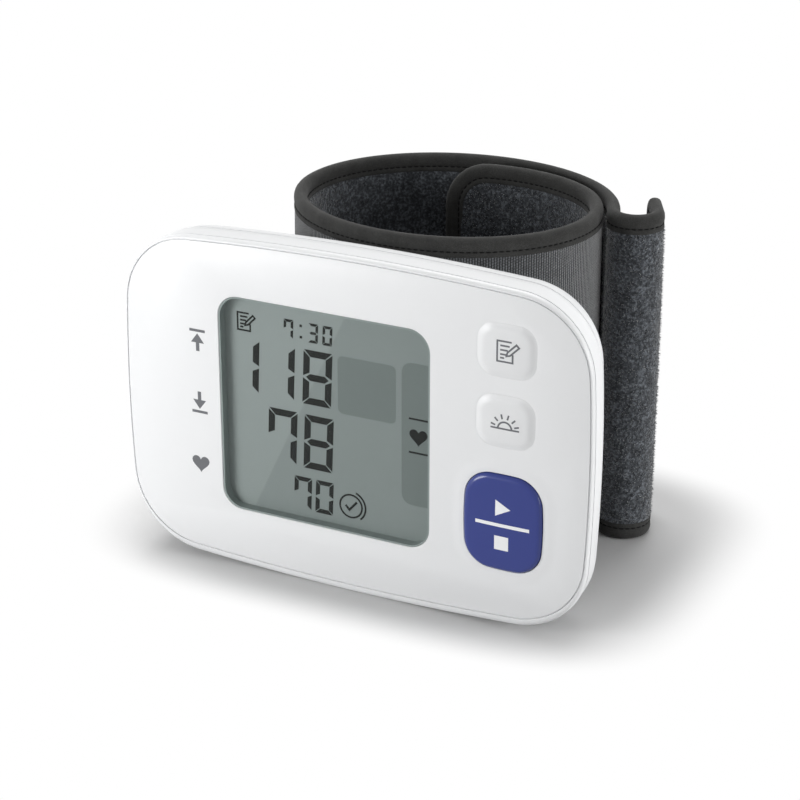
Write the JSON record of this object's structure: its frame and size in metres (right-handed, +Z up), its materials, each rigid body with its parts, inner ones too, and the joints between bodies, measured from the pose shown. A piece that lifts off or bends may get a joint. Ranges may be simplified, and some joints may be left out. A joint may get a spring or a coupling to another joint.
{
  "type": "wrist blood pressure monitor",
  "caption": "Slim white wrist blood pressure monitor with a square display, a column of push buttons and a soft curled cuff that wraps the wrist and closes on itself.",
  "frame": {"origin": "on the table, under the middle of the object's box", "axes": "+X to the right seen from the display side, +Y to the back along the depth of the cuff, +Z up"},
  "size_m": [0.091, 0.066, 0.0636],
  "materials": {
    "case_white": "satin white moulding",
    "key_white": "soft white cap",
    "key_blue": "glossy blue cap",
    "window_clear": "clear glossy lens",
    "lcd_glass": "grey green reflective panel",
    "inner_plastic": "plain moulding",
    "dark_plastic": "black moulding",
    "silicone": "soft matt",
    "board_green": "solder mask",
    "steel": "bright",
    "cell_jacket": "printed jacket",
    "cuff_cloth": "fine ribbed knit",
    "cuff_lining": "brushed loop pile",
    "cuff_binding": "sewn edge tape",
    "curler": "spring plate",
    "bladder": "welded film"
  },
  "bodies": {
    "root": {"front_cover": "case_white", "rear_case": "case_white", "display_window": "window_clear", "case_screw_1": "steel", "case_screw_2": "steel", "case_screw_3": "steel", "case_screw_4": "steel", "lcd_panel": "lcd_glass", "lcd_holder": "inner_plastic", "lcd_connector_strip": "silicone", "main_board": "board_green", "memory_switch": "dark_plastic", "morning_switch": "dark_plastic", "start_stop_switch": "dark_plastic", "button_mat": "silicone", "processor_chip": "dark_plastic", "buzzer": "dark_plastic", "pressure_sensor": "dark_plastic", "board_screw_1": "steel", "board_screw_2": "steel", "pump_motor": "steel", "pump_head": "dark_plastic", "air_manifold": "dark_plastic", "exhaust_valve": "steel", "pump_tube": "silicone", "sensor_tube": "silicone", "cuff_nozzle": "dark_plastic", "battery_1": "cell_jacket", "battery_2": "cell_jacket", "battery_spring_1": "steel", "battery_spring_2": "steel", "contact_bridge": "steel", "contact_minus": "steel", "contact_plus": "steel", "cuff_cloth": "cuff_cloth", "curler_plate": "curler", "air_bladder": "bladder", "cuff_lining": "cuff_lining", "cuff_binding": "cuff_binding", "hook_patch": "cuff_lining", "cuff_rivet_1": "steel", "cuff_rivet_2": "steel"},
    "memory_key": {"memory_button": "key_white"},
    "morning_key": {"morning_button": "key_white"},
    "start_stop_key": {"start_stop_button": "key_blue"},
    "battery_lid": {"battery_cover": "case_white"},
    "cuff_wrap": {"wrap_cloth": "cuff_cloth", "wrap_core": "bladder", "wrap_lining": "cuff_lining", "wrap_binding_top": "cuff_binding", "wrap_binding_bottom": "cuff_binding"},
    "cuff_tail": {"tail_cloth": "cuff_cloth", "tail_core": "bladder", "tail_lining": "cuff_lining", "tail_binding": "cuff_binding"}
  },
  "joints": [
    {"name": "memory_press", "type": "slide", "parent": "root", "child": "memory_key", "axis": [0, 1, 0], "range_m": [0, 0.0007], "stiffness_N_per_m": 1500},
    {"name": "morning_press", "type": "slide", "parent": "root", "child": "morning_key", "axis": [0, 1, 0], "range_m": [0, 0.0007], "stiffness_N_per_m": 1500},
    {"name": "start_stop_press", "type": "slide", "parent": "root", "child": "start_stop_key", "axis": [0, 1, 0], "range_m": [0, 0.0007], "stiffness_N_per_m": 1500},
    {"name": "battery_cover_slide", "type": "slide", "parent": "root", "child": "battery_lid", "axis": [-1, 0, 0], "range_m": [0, 0.0245]},
    {"name": "cuff_open", "type": "hinge", "parent": "root", "child": "cuff_wrap", "pos_m": [-0.0264, -0.0031, 0], "axis": [0, 0, 1], "range_deg": [0, 75]},
    {"name": "tail_peel", "type": "hinge", "parent": "cuff_wrap", "child": "cuff_tail", "pos_m": [0.01536, 0.03015, 0], "axis": [0, 0, 1], "range_deg": [0, 70]}
  ]
}
